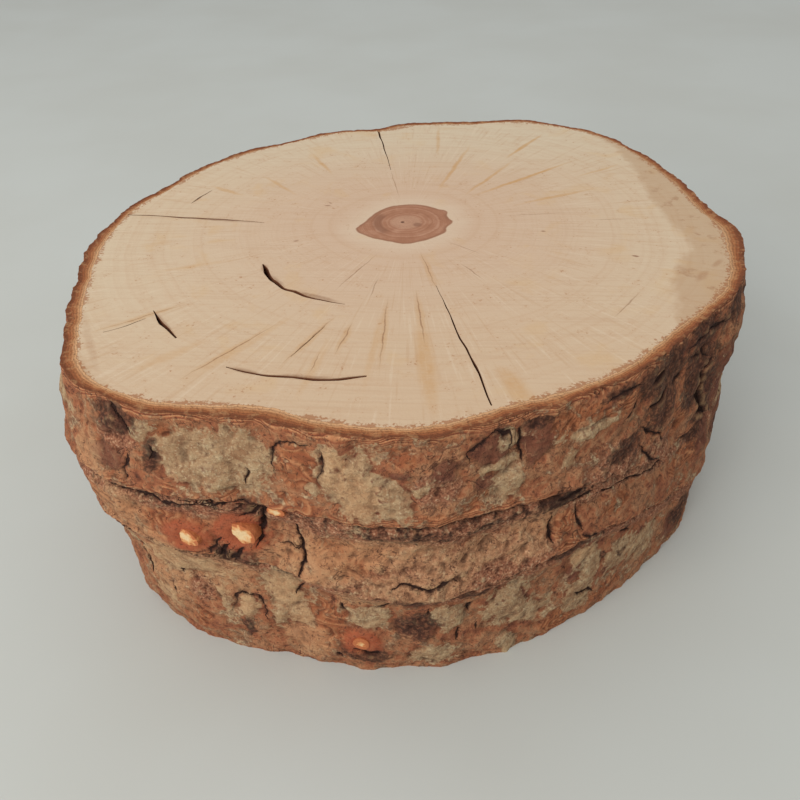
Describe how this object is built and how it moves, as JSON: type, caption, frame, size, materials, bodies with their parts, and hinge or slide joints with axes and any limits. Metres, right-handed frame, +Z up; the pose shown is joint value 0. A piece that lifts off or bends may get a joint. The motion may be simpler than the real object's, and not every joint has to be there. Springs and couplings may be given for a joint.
{
  "type": "tree stump",
  "caption": "Low round section of tree trunk with rough bark, sawn flat at both ends, with growth rings, drying cracks and sawn twig stubs.",
  "frame": {"origin": "middle of the footprint, on the plane of the lower saw cut", "axes": "+Z up along the trunk, +Y away from the side that carries the twig stubs, +X to that side's right"},
  "size_m": [0.3787, 0.3727, 0.165],
  "materials": {
    "bark": "rough bark, mottled brown, orange-brown and grey-green",
    "wood": "sawn end grain, dry and matt, with a reddish brown core"
  },
  "bodies": {
    "root": {"stump": "bark"}
  },
  "joints": []
}
